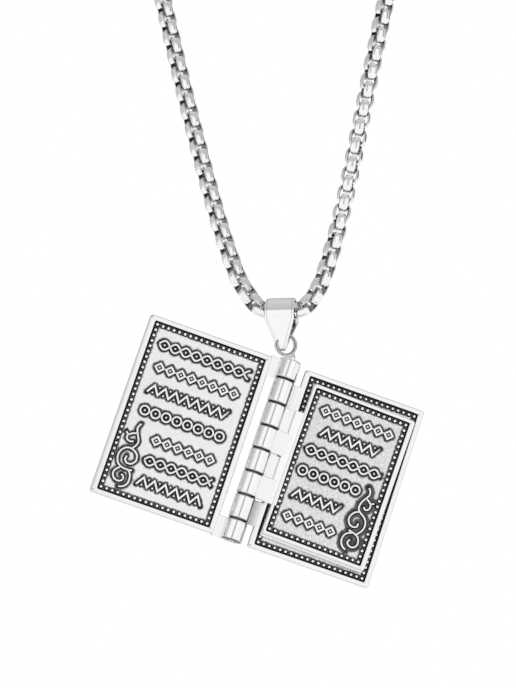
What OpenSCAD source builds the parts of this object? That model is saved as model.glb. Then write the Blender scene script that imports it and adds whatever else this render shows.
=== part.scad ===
// Book locket pendant on a round box chain, open flat, hanging from its bail.
// Millimetres, +Z up, the viewer at -Y. The origin is the top of the chain's loop, where it
// hangs. The locket's leaves turn on one hinge pin, tilted in the plane of the open book.

/* [Chain] */
// Diameter of the round box chain
chain_d = 3.2; // [2.8:0.05:3.4]
// Length of the plain clasp behind the neck
clasp_l = 12; // [9:0.5:12]
// Diameter of the clasp
clasp_d = 4.4; // [3.6:0.1:6]

/* [Bail] */
// Width of the bail across its shoulders
bail_w = 5.3; // [4.6:0.1:5.4]
// Width of the bail at its tip
bail_tip_w = 1.3; // [1:0.1:1.4]
// Thickness of the bail's strap
bail_t = 0.45; // [0.4:0.05:0.6]
// Turn of the bail about the vertical
bail_yaw = 9; // [0:1:10]

/* [Hinge] */
// Length of the hinge barrel
barrel_l = 34; // [33:0.2:36]
// Outer diameter of the hinge barrel
barrel_d = 3.7; // [3.4:0.05:3.7]
// Diameter of the hinge pin
pin_d = 1.2; // [0.8:0.1:1.3]
// Radial play between the pin and the knuckles
pin_play = 0.05; // [0.02:0.01:0.08]
// Gap between neighbouring knuckles
knuckle_gap = 0.1; // [0.06:0.02:0.2]

/* [Leaves] */
// Height of the covers
cover_h = 33.5; // [33:0.1:34]
// Height of the pages
page_h = 28.5; // [28:0.1:29.2]
// Thickness of every leaf
leaf_t = 0.95; // [0.8:0.05:1]
// Gap between leaves that lie on each other
leaf_gap = 0.1; // [0.08:0.02:0.2]
// Depth of the sunk panels
panel_depth = 0.3; // [0.2:0.05:0.35]
// Spacing of the beads along a border
bead_pitch = 1.02; // [0.9:0.01:1.1]
// Diameter of a bead
bead_d = 0.58; // [0.4:0.02:0.58]
// Width of a raised ornament stroke
stroke_w = 0.38; // [0.25:0.01:0.45]

/* [Hanging] */
// Tilt of the hinge in the plane of the book, its top leaning right
book_tilt = 18.5; // [10:0.5:20]
// Turn of the book about the vertical, its left side towards the viewer
book_yaw = 8; // [0:1:10]
// Slant of the pages against the covers, in their own plane
page_skew = 1.3; // [0:0.1:2]

/* [Hidden] */
$fn = 32;

// The chain's loop, as [x, height above its lowest point], from the clasp's right end down
// the right side, through the bail and up the left side
loop_h = 263;
chain_route = [
    [6, 262.6], [24, 256.5], [39, 243.5], [48.5, 224], [50, 202.5], [45.8, 178.5], [40.4, 154.5],
    [35, 130.5], [29.8, 106.5], [24.8, 83.5], [20.2, 62.5], [16.3, 44], [13, 27.5], [10.4, 16],
    [8.4, 8.8], [7.1, 5.1], [6, 3], [4.5, 1], [2.7, 0.1],
    [0, 0],
    [-2.7, 0.1], [-4.5, 1], [-6, 3.1], [-7.3, 5.1], [-8.8, 8.8], [-11.2, 16.2], [-14.3, 27.5],
    [-18.4, 44], [-22.6, 62.5], [-27.2, 83.5], [-32.2, 106.5], [-37.2, 130.5], [-42.4, 154.5],
    [-47, 178.5], [-50, 202.5], [-48.5, 224], [-39, 243.5], [-24, 256.5], [-6, 262.6]
];
chain_sides = 8;
clasp_gap = 0.5;

// The bail hangs over the chain's lowest link, seen in the YZ plane from the chain's axis
bail_ri = 2.65;
bail_ro = bail_ri + bail_t;
bail_centre_z = -0.8;
bail_crotch_z = -5.2;
bail_crotch_w = 1;
bail_tip_z = -7.25;
bail_tip_t = 0.6;
bail_shoulder_z = -1.8;

// The eye is a band soldered on the top knuckle, and the bail's tip passes through it. Its section
// is given as half its thickness and half its width
eye_r = 1.8;
eye_half_t = 0.3;
eye_half_w = 0.6;
eye_clear = 0.1;
eye_yaw = 12;
eye_place = [0.75, 0, -6.2];
eye_on_book = [-1.8, 0.7, barrel_l / 2 + 2.5];
// The solder between the eye and the knuckle, as [x, height over the barrel]
EYE_FOOT = [[-1.75, -0.4], [1, -0.4], [0.15, 1.55], [-0.9, 0.9], [-1.8, 0.6]];

// Knuckles from the top, each named by the leaf that owns it
knuckle_l = [3.7, 4.6, 4.4, 4.3, 4.3, 4.3, 4.5, 3.9];
FRONT_KNUCKLES = [0, 7];
BACK_KNUCKLES = [1, 6];
PAGE_1_KNUCKLES = [3, 5];
PAGE_2_KNUCKLES = [2, 4];

// Each leaf lies in its own layer, given by the height of its lower face over the hinge axis
layer = leaf_t + leaf_gap;
COVER_N = -1.5 * leaf_gap - 2 * leaf_t;
PAGE_2_N = COVER_N + layer;
PAGE_1_N = PAGE_2_N + layer;

// Leaf outlines as [left, right] from the hinge axis, and their sunk panels
FRONT_X = [-26.3, -3.25];
FRONT_PANEL = [-25.2, -4.25];
BACK_X = [3.1, 25.75];
BACK_PANEL = [4.15, 24.85];
PAGE_X = [4.75, 24.15];
PAGE_PANEL = [5.4, 23.3];
page_margin_x = 3.5;
page_margin_z = 8.65;
cover_panel_h = 31.85;
page_panel_h = 27.2;
page_2_drop = 0.35;
back_drop = 0.1;
corner_r = 0.5;
bead_inset = 0.6;

// Height of an ornament row's centre line over and under the row's middle
row_reach = 0.8;
row_step = 2;
lozenge_w = 1.5;

// Ornament rows as [height of the row, left end, right end, kind], inside each panel
WAVE = 0;
LOZENGES = 1;
ZIGZAG = 2;
RINGS = 3;
FRONT_ROWS = [
    [12.2, -23.2, -6.2, WAVE], [8.1, -23.3, -6.2, LOZENGES], [4.05, -22.5, -6.9, ZIGZAG],
    [0, -23.3, -6.2, RINGS], [-4.5, -19.4, -6.7, LOZENGES], [-8.3, -19, -6.4, WAVE],
    [-12.1, -19, -6.4, ZIGZAG]
];
PAGE_ROWS = [
    [10.2, 6.8, 21.9, LOZENGES], [6.5, 8.8, 19.9, ZIGZAG], [2.7, 7.2, 21.4, WAVE],
    [-1.2, 6.8, 19.2, RINGS], [-5.5, 7.6, 17.5, ZIGZAG], [-9.7, 6.8, 17.6, LOZENGES]
];

// The lines of the scrollwork in a panel's corner, as [x, z], which smooth_route rounds
FRONT_SCROLLS = [
    [[-21.8, -14.3], [-21, -14], [-20.4, -13.2], [-20.4, -12.1], [-20.7, -11.4], [-21.1, -11]],
    [[-22.6, -11], [-23.3, -11.7], [-23.4, -12.5], [-22.9, -13.2], [-22.1, -13.4], [-21.5, -13],
        [-21.5, -12.4], [-22, -12.1]],
    [[-20.4, -10.9], [-21.5, -11], [-22.6, -10.8], [-23.3, -10.2], [-23.6, -9.2], [-23.5, -8.3],
        [-22.9, -7.5], [-22.1, -7.2], [-21.2, -7.4], [-20.5, -8], [-20.3, -9], [-20.9, -9.8],
        [-21.7, -9.9], [-22.2, -9.4], [-22.1, -8.7]],
    [[-21.7, -7.2], [-21.2, -6.5], [-21, -5.7], [-21.3, -4.9], [-21.7, -4.1], [-21.9, -3.3], [-21.5, -2.5]],
    [[-21.6, -4.3], [-22.4, -4.6], [-23.1, -5], [-23.6, -4.6]],
    [[-23.1, -5], [-23.2, -5.6], [-22.8, -6], [-22.3, -6.1], [-21.8, -5.9]]
];
PAGE_SCROLLS = [
    [[19.8, -11.8], [19, -11.3], [18.6, -10.4], [18.7, -9.5], [19.2, -8.9], [19.9, -8.6]],
    [[19.2, -8.3], [20.2, -8.5], [21.1, -8.9], [21.5, -9.7], [21.4, -10.5], [20.8, -11],
        [20.1, -10.9], [19.7, -10.4], [20, -9.8]],
    [[20.8, -8.5], [21.5, -7.6], [21.7, -6.6], [21.4, -5.6], [20.7, -5], [19.9, -4.5], [19.6, -3.7],
        [19.8, -2.8], [20.3, -1.9], [20.7, -1.2], [20.6, -0.5], [20.2, 0]],
    [[19.9, -4.6], [19.1, -5.1], [18.6, -6], [18.7, -6.8], [19.2, -7.4], [19.9, -7.5],
        [20.4, -7.2], [20.4, -6.6]],
    [[20.5, -2], [21, -2.3], [21.4, -2.6], [22, -2.3]],
    [[21.4, -2.6], [21.5, -3.2], [21.3, -3.7], [20.8, -3.9], [20.4, -3.5]]
];

// Curves
function mid_of(a, b, c, d) = (9 * (b + c) - a - d) / 16;
function way(p) = p / norm(p);
function across(p) = [-p[1], p[0]];
function smooth_route(p) = [
    for (i = [0 : len(p) - 2]) each [
        p[i], mid_of(p[max(i - 1, 0)], p[i], p[i + 1], p[min(i + 2, len(p) - 1)])
    ],
    p[len(p) - 1]
];
function wave(x0, x1, z) = [
    for (i = [0 : 8 * ceil((x1 - x0) / row_step)])
    let (x = min(x0 + i * row_step / 8, x1)) if (x < x1 - 0.05)
    [x, z + row_reach * sin(360 * (x - x0) / (2 * row_step))]
];
function zigzag(x0, x1, z) = [
    for (i = [0 : floor((x1 - x0) / (row_step / 2))])
    [x0 + i * row_step / 2, z + row_reach * (i % 2 == 0 ? -1 : 1)]
];
function ribbon(p, w) = let (last = len(p) - 1) concat(
    [for (i = [0 : last]) p[i] + w / 2 * across(way(p[min(i + 1, last)] - p[max(i - 1, 0)]))],
    [for (i = [last : -1 : 0]) p[i] - w / 2 * across(way(p[min(i + 1, last)] - p[max(i - 1, 0)]))]
);
function arc(cx, cy, r, a0) = [for (a = [0 : 15 : 90]) [cx + r * cos(a0 + a), cy + r * sin(a0 + a)]];
function round_box(x0, x1, z0, z1, r) = concat(
    arc(x1 - r, z1 - r, r, 0), arc(x0 + r, z1 - r, r, 90),
    arc(x0 + r, z0 + r, r, 180), arc(x1 - r, z0 + r, r, 270)
);
// Height of the top of a knuckle over the barrel's middle
function knuckle_top(i) = i == 0 ? barrel_l / 2 : knuckle_top(i - 1) - knuckle_l[i - 1];

// Puts a shape drawn in the book's own frame where the book hangs
module in_book() {
    translate([0, 0, -loop_h]) translate(eye_place)
        rotate([0, 0, book_yaw]) rotate([0, book_tilt, 0]) translate(-eye_on_book) children();
}

// Lays a flat drawing on a leaf, at a height over the hinge axis, with its thickness to the viewer
module on_leaf(n, thick) {
    translate([0, -n, 0]) rotate([90, 0, 0]) linear_extrude(thick) children();
}

module knuckles(owned, n, reach_x) {
    for (i = owned) {
        top = knuckle_top(i) - (i == 0 ? 0 : knuckle_gap / 2);
        low = knuckle_top(i) - knuckle_l[i] + (i == len(knuckle_l) - 1 ? 0 : knuckle_gap / 2);
        translate([0, 0, low]) cylinder(d = barrel_d, h = top - low);
        // The tab starts inside the knuckle, clear of the pin
        tab_x = n < -leaf_t - leaf_gap ? 0 : 0.9;
        side = sign(reach_x);
        on_leaf(n, leaf_t) polygon([
            [side * tab_x, low], [reach_x, low], [reach_x, top], [side * tab_x, top]
        ]);
    }
}

module pin_bore() {
    translate([0, 0, -barrel_l]) cylinder(d = pin_d + 2 * pin_play, h = 2 * barrel_l);
}

module sunk_panel(x, h, z, n) {
    on_leaf(n + leaf_t - panel_depth, 2 * panel_depth) translate([x[0], z - h / 2])
        square([x[1] - x[0], h]);
}

module bead_border(x, h, z, n) {
    across_n = round((x[1] - x[0] - 2 * bead_inset) / bead_pitch);
    down_n = round((h - 2 * bead_inset) / bead_pitch);
    step_x = (x[1] - x[0] - 2 * bead_inset) / across_n;
    step_z = (h - 2 * bead_inset) / down_n;
    floor_y = -(n + leaf_t - panel_depth);
    for (i = [0 : across_n], j = [0 : down_n])
        if (i == 0 || i == across_n || j == 0 || j == down_n)
            translate([x[0] + bead_inset + i * step_x, floor_y, z - h / 2 + bead_inset + j * step_z])
                sphere(d = bead_d, $fn = 16);
}

module lozenge(x, z) {
    difference() {
        translate([x, z]) rotate(45) square(lozenge_w, center = true);
        translate([x, z]) rotate(45) square(lozenge_w - 2 * stroke_w, center = true);
    }
}

module ornament_row(row) {
    z = row[0];
    count = floor((row[2] - row[1]) / row_step);
    first = (row[1] + row[2] - (count - 1) * row_step) / 2;
    if (row[3] == WAVE) polygon(ribbon(wave(row[1], row[2], z), stroke_w));
    if (row[3] == ZIGZAG) polygon(ribbon(zigzag(row[1], row[2], z), stroke_w));
    if (row[3] == LOZENGES) for (i = [0 : count - 1]) lozenge(first + i * row_step, z);
    if (row[3] == RINGS) for (i = [0 : count - 1]) translate([first + i * row_step, z]) difference() {
        circle(r = row_reach + stroke_w / 2);
        circle(r = row_reach - stroke_w / 2);
    }
}

module relief(n, rows, scrolls) {
    root = 0.1;
    on_leaf(n + leaf_t - panel_depth - root, panel_depth + root) {
        for (row = rows) ornament_row(row);
        for (line = scrolls) polygon(ribbon(smooth_route(line), stroke_w));
    }
}

module cover_slab(x, z, n) {
    on_leaf(n, leaf_t) polygon(round_box(x[0], x[1], z - cover_h / 2, z + cover_h / 2, corner_r));
}

module chain() {
    p = smooth_route(chain_route);
    last = len(p) - 1;
    rings = [
        for (i = [0 : last]) let (side = across(way(p[min(i + 1, last)] - p[max(i - 1, 0)])))
        for (k = [0 : chain_sides - 1]) let (a = 360 * k / chain_sides, s = side * cos(a))
        [p[i][0] + chain_d / 2 * s[0], chain_d / 2 * sin(a), p[i][1] + chain_d / 2 * s[1]]
    ];
    walls = [
        for (i = [0 : last - 1], k = [0 : chain_sides - 1])
        let (a = i * chain_sides + k, b = i * chain_sides + (k + 1) % chain_sides)
        [a, b, b + chain_sides, a + chain_sides]
    ];
    start = [for (k = [chain_sides - 1 : -1 : 0]) k];
    end = [for (k = [0 : chain_sides - 1]) last * chain_sides + k];
    color("silver") translate([0, 0, -loop_h])
        polyhedron(points = rings, faces = concat(walls, [start, end]));
}

module clasp() {
    color("silver") translate([0, 0, chain_route[0][1] - loop_h])
        rotate([0, 90, 0]) cylinder(d = clasp_d, h = clasp_l - 2 * clasp_gap, center = true);
}

// A round bend over the chain with a wedge under it, which narrows to the tip
module bail_wedge(r, foot_w, foot_z) {
    foot = [foot_w / 2, foot_z - bail_centre_z];
    // The wedge leaves the bend a little before its tangent, so that the two shapes cross
    a = atan2(foot[1], foot[0]) + acos(r / norm(foot)) + 8;
    translate([0, 0, bail_centre_z]) {
        rotate([0, 90, 0]) cylinder(r = r, h = 2 * bail_w, center = true);
        rotate([90, 0, 90]) linear_extrude(2 * bail_w, center = true) polygon([
            [-r * cos(a), r * sin(a)], [r * cos(a), r * sin(a)], foot, [-foot[0], foot[1]]
        ]);
    }
}

// The strap's outline from the front
module bail_outline() {
    top = bail_centre_z + bail_ro + 1;
    rotate([90, 0, 0]) linear_extrude(4 * bail_ro, center = true) polygon([
        [-bail_w / 2, top], [-bail_w / 2, bail_shoulder_z], [-bail_tip_w / 2, bail_tip_z - 0.01],
        [bail_tip_w / 2, bail_tip_z - 0.01], [bail_w / 2, bail_shoulder_z], [bail_w / 2, top]
    ]);
}

// A strap folded over the chain, its two leaves soldered together at the tip
module bail() {
    color("gainsboro") translate([0, 0, -loop_h]) difference() {
        rotate([0, 0, -bail_yaw]) intersection() {
            difference() {
                bail_wedge(bail_ro, bail_tip_t, bail_tip_z);
                bail_wedge(bail_ri, bail_crotch_w, bail_crotch_z);
            }
            bail_outline();
        }
        // The groove that the eye turns in
        translate(eye_place) rotate([0, 0, book_yaw]) rotate([0, book_tilt, 0]) eye(eye_clear);
    }
}

// The eye about its own middle, grown by some play
module eye(play) {
    rotate([0, 0, eye_yaw]) rotate([90, 0, 0]) rotate_extrude($fn = 64) translate([eye_r, 0])
        scale([eye_half_t + play, eye_half_w + play]) circle(r = 1, $fn = 24);
}

module hinge_pin() {
    color("silver") in_book() translate([0, 0, -barrel_l / 2]) cylinder(d = pin_d, h = barrel_l);
}

module front_cover() {
    color("silver") in_book() {
        difference() {
            union() {
                difference() {
                    cover_slab(FRONT_X, 0, COVER_N);
                    sunk_panel(FRONT_PANEL, cover_panel_h, 0, COVER_N);
                }
                knuckles(FRONT_KNUCKLES, COVER_N, FRONT_X[1] - 0.1);
                bead_border(FRONT_PANEL, cover_panel_h, 0, COVER_N);
                relief(COVER_N, FRONT_ROWS, FRONT_SCROLLS);
                translate(eye_on_book) eye(0);
                translate([0, eye_on_book[1] + eye_half_w, barrel_l / 2]) rotate([90, 0, 0])
                    linear_extrude(2 * eye_half_w) polygon(EYE_FOOT);
            }
            pin_bore();
        }
    }
}

module back_cover() {
    z = -back_drop;
    color("silver") in_book() difference() {
        union() {
            difference() {
                cover_slab(BACK_X, z, COVER_N);
                sunk_panel(BACK_PANEL, cover_panel_h, z, COVER_N);
            }
            knuckles(BACK_KNUCKLES, COVER_N, BACK_X[0] + 0.1);
            bead_border(BACK_PANEL, cover_panel_h, z, COVER_N);
        }
        pin_bore();
    }
}

// Turns a page's slab and relief against its knuckles, in the page's plane, and lowers it
module skewed(drop) {
    middle = (PAGE_X[0] + PAGE_X[1]) / 2;
    translate([middle, 0, -drop]) rotate([0, page_skew, 0]) translate([-middle, 0, 0]) children();
}

module page(n, owned, drop) {
    difference() {
        union() {
            skewed(drop) on_leaf(n, leaf_t)
                polygon(round_box(PAGE_X[0], PAGE_X[1], -page_h / 2, page_h / 2, corner_r));
            on_leaf(n, leaf_t) polygon([
                [page_margin_x, -page_margin_z], [PAGE_X[0] + 0.7, -page_margin_z],
                [PAGE_X[0] + 0.7, page_margin_z], [page_margin_x, page_margin_z]
            ]);
            knuckles(owned, n, page_margin_x + 0.5);
        }
        pin_bore();
        skewed(drop) sunk_panel(PAGE_PANEL, page_panel_h, 0, n);
    }
    skewed(drop) bead_border(PAGE_PANEL, page_panel_h, 0, n);
}

module page_1() {
    color("silver") in_book() union() {
        page(PAGE_1_N, PAGE_1_KNUCKLES, 0);
        skewed(0) relief(PAGE_1_N, PAGE_ROWS, PAGE_SCROLLS);
    }
}

module page_2() {
    color("silver") in_book() page(PAGE_2_N, PAGE_2_KNUCKLES, page_2_drop);
}

chain();
clasp();
bail();
hinge_pin();
front_cover();
back_cover();
page_1();
page_2();
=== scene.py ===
"""Dresses the open book locket on its round box chain.

Sizes in the code are in millimetres in the model's frame: +Z up, the open book faces -Y, and the
origin is the top of the chain's loop. The locket's leaves are drawn in the book's own frame, with X
to the right of the hinge, Z up along it, and a height n over its axis towards the viewer.
"""

import math

import bmesh
import bpy
import numpy as np
from bpy.props import FloatProperty, FloatVectorProperty, PointerProperty
from mathutils import Matrix, Vector


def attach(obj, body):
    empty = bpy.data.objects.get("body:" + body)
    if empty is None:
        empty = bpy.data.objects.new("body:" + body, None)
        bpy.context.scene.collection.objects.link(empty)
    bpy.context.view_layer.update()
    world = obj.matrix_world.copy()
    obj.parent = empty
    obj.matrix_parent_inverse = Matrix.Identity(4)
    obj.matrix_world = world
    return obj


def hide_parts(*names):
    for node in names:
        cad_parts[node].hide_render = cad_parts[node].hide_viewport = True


bl_info = {
    "name": "Book Locket",
    "version": (1, 0, 0),
    "blender": (4, 5, 0),
    "location": "3D View > Sidebar > Locket",
    "description": "Dresses an open book locket and its round box chain",
    "category": "Object",
}

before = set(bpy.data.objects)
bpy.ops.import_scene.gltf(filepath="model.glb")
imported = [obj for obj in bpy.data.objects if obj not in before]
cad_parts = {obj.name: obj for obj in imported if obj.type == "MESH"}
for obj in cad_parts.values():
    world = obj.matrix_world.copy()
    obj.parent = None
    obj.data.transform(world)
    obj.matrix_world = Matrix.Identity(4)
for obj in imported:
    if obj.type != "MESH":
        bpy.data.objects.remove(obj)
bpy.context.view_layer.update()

MM = 0.001

# The chain's loop as x and height over its lowest point, as the model's source gives it
LOOP_H = 263
CHAIN_ROUTE = [
    (6, 262.6), (24, 256.5), (39, 243.5), (48.5, 224), (50, 202.5), (45.8, 178.5),
    (40.4, 154.5), (35, 130.5), (29.8, 106.5), (24.8, 83.5), (20.2, 62.5), (16.3, 44),
    (13, 27.5), (10.4, 16), (8.4, 8.8), (7.1, 5.1), (6, 3), (4.5, 1), (2.7, 0.1), (0, 0),
    (-2.7, 0.1), (-4.5, 1), (-6, 3.1), (-7.3, 5.1), (-8.8, 8.8), (-11.2, 16.2), (-14.3, 27.5),
    (-18.4, 44), (-22.6, 62.5), (-27.2, 83.5), (-32.2, 106.5), (-37.2, 130.5), (-42.4, 154.5),
    (-47, 178.5), (-50, 202.5), (-48.5, 224), (-39, 243.5), (-24, 256.5), (-6, 262.6),
]
# The chain's turn about its own line, as height over its lowest point and degrees outwards
RIGHT_ROLL = [(0, 45), (6, 35), (13, 25), (20, 0), (30, -10), (38, 5), (54, 30), (263, 30)]
LEFT_ROLL = [(0, 45), (8, 55), (18, 62), (263, 62)]
# A link's band in section, as (across, how far out from 0 to 1, crown): its outer side is domed,
# and painted shade darkens its edges and inner side. It narrows towards the link's ends, which
# rounds its corners
LINK_SECTION = [
    (-0.93, 0, 0), (-1, 0.14, 0.6), (-1, 0.8, 0.75), (-0.93, 0.97, 0.55), (-0.8, 1, 0.95),
    (-0.3, 1, 1), (0.3, 1, 1), (0.8, 1, 0.95), (0.93, 0.97, 0.55), (1, 0.8, 0.75),
    (1, 0.14, 0.6), (0.93, 0, 0),
]
LINK_END_CUT = 0.42
LINK_CUT_POWER = 5

# How far the middle of a rounded edge lies in from its corner, as a share of its radius
ROUNDING = 0.3

# The bail from the side, as (behind the chain's line, height over it): its bend's middle and inner
# radius, where the back leaf's outer and inner faces start, and where the two leaves part over the
# solder. It has its full width from the shoulder up
BAIL_CENTRE_Z = -0.8
BAIL_RI = 2.65
BAIL_FOOT = (0.3, -7.25)
BAIL_CROTCH = (0.5, -5.2)
BAIL_PARTING = [(0.02, -5.8), (0.3, -5.2)]
BAIL_SHOULDER_Z = -1.8
BAIL_YAW = -9

# The eye is a band soldered on the top knuckle, and hangs from the bail's tip. The solder is given
# as x and height over the barrel
EYE_R = 1.8
EYE_HALF = (0.3, 0.6)
EYE_CLEAR = 0.1
EYE_YAW = 12
EYE_PLACE = (0.75, 0, -6.2)
EYE_ON_BOOK = (-1.8, 0.7, 19.5)
EYE_FOOT = [(-1.75, -0.4), (1, -0.4), (0.15, 1.55), (-0.9, 0.9), (-1.8, 0.6)]
BOOK_TILT = 18.5
BOOK_YAW = 8

# The hinge: each knuckle's length from the top, and the leaf that owns it
BARREL_L = 34
BORE_R = 0.65
KNUCKLE_GAP = 0.1
KNUCKLES = [
    (3.7, "front_cover"), (4.6, "back_cover"), (4.4, "page_2"), (4.3, "page_1"),
    (4.3, "page_2"), (4.3, "page_1"), (4.5, "back_cover"), (3.9, "front_cover"),
]
# How much painted shade darkens a knuckle's tab at the barrel and at the leaf. The back cover's two
# tabs, on the second and the seventh knuckle, get more painted shade where they dip under the
# barrel
TAB_SHADE = (0.05, 0.05)
TAB_PAINTED_SHADE = {1: (0.4, 0), 6: (1.1, 0.15)}

# Leaves: x from and to, height, middle height, the lower face's n, and the sunk panel's
# x from and to and its height. The pages' slabs are skewed a little against their knuckles, and
# the lower one has dropped a little
COVER = dict(h=33.5, n=-2.05, panel_h=31.85)
PAGE = dict(x=(4.75, 24.15), h=28.5, z=0, panel=(5.4, 23.3), panel_h=27.2)
LEAVES = {
    "front_cover": dict(COVER, x=(-26.3, -3.25), z=0, panel=(-25.2, -4.25)),
    "back_cover": dict(COVER, x=(3.1, 25.75), z=-0.1, panel=(4.15, 24.85)),
    "page_2": dict(PAGE, n=-1.0, drop=0.35),
    "page_1": dict(PAGE, n=0.05, drop=0),
}
PAGE_MARGIN = dict(x=(3.5, 5.45), z=(-8.65, 8.65))
PAGE_SKEW = 1.3
# How much painted shade darkens a leaf's rounded outer edge, and how dark its flat rim is
TRAY_EDGE_SHADE = 0.3
TRAY_RIM_SHADE = 0.06

# The finishes of a leaf's faces, by their place in its list. The polished one comes first
FIELD, RAISED = 1, 2
# A stroke in section as (aside, rise, crown), and a bead's rings as (rise, reach)
STROKE_SECTION = [
    (-1.1, -0.1, 0), (-0.95, 0.7, 0.75), (-0.5, 1, 1), (0.5, 1, 1), (0.95, 0.7, 0.75),
    (1.1, -0.1, 0),
]
DOME_RINGS = [(-0.1, 1), (0.45, 0.98), (0.78, 0.84), (0.97, 0.5)]
DOT_R = 0.22
# The grid step of a panel's floor with rows on it, and of a plain one
FINE_STEP = 0.12
PLAIN_STEP = 0.16
# How far the black reaches from the middle of a scroll's line
COVER_SCROLL_HALO = 0.62
PAGE_SCROLL_HALO = 0.85

# Ornament rows as height, left end, right end and kind, and the lines of the scrollwork
ROW_REACH = 0.8
ROW_STEP = 2.0
LOZENGE_W = 1.5
ROWS = {
    "front_cover": [
        (12.2, -23.2, -6.2, "waves"), (8.1, -23.3, -6.2, "lozenges"), (4.05, -22.5, -6.9, "zigzag"),
        (0, -23.3, -6.2, "rings"), (-4.5, -19.4, -6.7, "lozenges"), (-8.3, -19, -6.4, "waves"),
        (-12.1, -19, -6.4, "zigzag"),
    ],
    "page_1": [
        (10.2, 6.8, 21.9, "lozenges"), (6.5, 8.8, 19.9, "zigzag"), (2.7, 7.2, 21.4, "waves"),
        (-1.2, 6.8, 19.2, "rings"), (-5.5, 7.6, 17.5, "zigzag"), (-9.7, 6.8, 17.6, "lozenges"),
    ],
}
SCROLLS = {
    "front_cover": [
        [(-21.8, -14.3), (-21, -14), (-20.4, -13.2), (-20.4, -12.1), (-20.7, -11.4), (-21.1, -11)],
        [(-22.6, -11), (-23.3, -11.7), (-23.4, -12.5), (-22.9, -13.2), (-22.1, -13.4), (-21.5, -13),
         (-21.5, -12.4), (-22, -12.1)],
        [(-20.4, -10.9), (-21.5, -11), (-22.6, -10.8), (-23.3, -10.2), (-23.6, -9.2), (-23.5, -8.3),
         (-22.9, -7.5), (-22.1, -7.2), (-21.2, -7.4), (-20.5, -8), (-20.3, -9), (-20.9, -9.8),
         (-21.7, -9.9), (-22.2, -9.4), (-22.1, -8.7)],
        [(-21.7, -7.2), (-21.2, -6.5), (-21, -5.7), (-21.3, -4.9), (-21.7, -4.1), (-21.9, -3.3),
         (-21.5, -2.5)],
        [(-21.6, -4.3), (-22.4, -4.6), (-23.1, -5), (-23.6, -4.6)],
        [(-23.1, -5), (-23.2, -5.6), (-22.8, -6), (-22.3, -6.1), (-21.8, -5.9)],
    ],
    "page_1": [
        [(19.8, -11.8), (19, -11.3), (18.6, -10.4), (18.7, -9.5), (19.2, -8.9), (19.9, -8.6)],
        [(19.2, -8.3), (20.2, -8.5), (21.1, -8.9), (21.5, -9.7), (21.4, -10.5), (20.8, -11),
         (20.1, -10.9), (19.7, -10.4), (20, -9.8)],
        [(20.8, -8.5), (21.5, -7.6), (21.7, -6.6), (21.4, -5.6), (20.7, -5), (19.9, -4.5),
         (19.6, -3.7), (19.8, -2.8), (20.3, -1.9), (20.7, -1.2), (20.6, -0.5), (20.2, 0)],
        [(19.9, -4.6), (19.1, -5.1), (18.6, -6), (18.7, -6.8), (19.2, -7.4), (19.9, -7.5),
         (20.4, -7.2), (20.4, -6.6)],
        [(20.5, -2), (21, -2.3), (21.4, -2.6), (22, -2.3)],
        [(21.4, -2.6), (21.5, -3.2), (21.3, -3.7), (20.8, -3.9), (20.4, -3.5)],
    ],
}

# The camera: the point that it looks at, its distance and angle over that point, and its lens
CAMERA_LOOKS_AT = (-4.21, 0, -269)
CAMERA_DISTANCE = 420
CAMERA_RISE = -10
CAMERA_LENS = 123
CAMERA_SENSOR = 36

# The studio's walls as (degrees round from the front, grey), with the viewer's left below 0. Its
# ceiling is given as (degrees up, grey), and starts where the walls fade out
WALLS = [
    (-180, 0.12), (-168, 0.12), (-150, 0.58), (-76, 0.58), (-64, 1), (-11, 1), (-7, 0.48),
    (6, 0.48), (10, 1), (55, 1), (59, 0.3), (70, 0.3), (75, 0.75), (93, 0.75), (100, 0.12),
    (144, 0.12), (149, 1), (160, 1), (168, 0.12), (180, 0.12),
]
WALLS_FADE = [(24, 0), (28, 1)]
CEILING = [(29, 0.53), (60, 0.6), (90, 0.68)]


def rotation(axis, degrees):
    return np.array(Matrix.Rotation(math.radians(degrees), 3, axis))


BOOK_ROTATION = rotation("Z", BOOK_YAW) @ rotation("Y", BOOK_TILT)


def from_bail(points):
    """Points that are given from the chain's lowest point, in the model's frame."""
    return np.asarray(points, float) + (0, 0, -LOOP_H)


def from_book(points):
    """Points in the book's own frame (x, n, z), in the model's frame."""
    x, n, z = np.asarray(points, float).T
    at = np.stack([x, -n, z], 1) - EYE_ON_BOOK
    return from_bail(at @ BOOK_ROTATION.T + EYE_PLACE)


class Shape:
    """Points and faces of a piece that is being made, with two marks at each point. On a panel's
    floor, crown is the distance from the nearest raised edge and band how far it lies inside the
    black. Elsewhere crown runs from 0 in the hollows to 1 on top, and band from 0 to 1 is dark."""

    def __init__(self):
        self.points, self.faces, self.materials = [], [], []
        self.marks = {"crown": [], "band": []}
        self.count = 0

    def add(self, points, faces, material=0, crown=1.0, band=0.0):
        points = np.asarray(points, float)
        self.points.append(points)
        self.faces += [tuple(int(i) + self.count for i in face) for face in faces]
        self.materials += [material] * len(faces)
        for mark, values in (("crown", crown), ("band", band)):
            self.marks[mark].append(np.broadcast_to(np.asarray(values, float), len(points)))
        self.count += len(points)

    def piece(self, name, materials, place):
        """The finished object. place turns the points into the model's frame."""
        points = place(np.concatenate(self.points)) * MM
        mesh = bpy.data.meshes.new(name)
        mesh.from_pydata(points.tolist(), [], self.faces)
        mesh.polygons.foreach_set("material_index", self.materials)
        mesh.shade_smooth()
        for mark, values in self.marks.items():
            mesh.attributes.new(mark, "FLOAT", "POINT").data.foreach_set(
                "value", np.concatenate(values).astype(np.float32)
            )
        for material in materials:
            mesh.materials.append(material)
        mesh.validate()
        made = bpy.data.objects.new(name, mesh)
        bpy.context.scene.collection.objects.link(made)
        # Flat sides stay flat next to their rounded edges
        made.modifiers.new("even shading", "WEIGHTED_NORMAL").weight = 60
        return made


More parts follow.
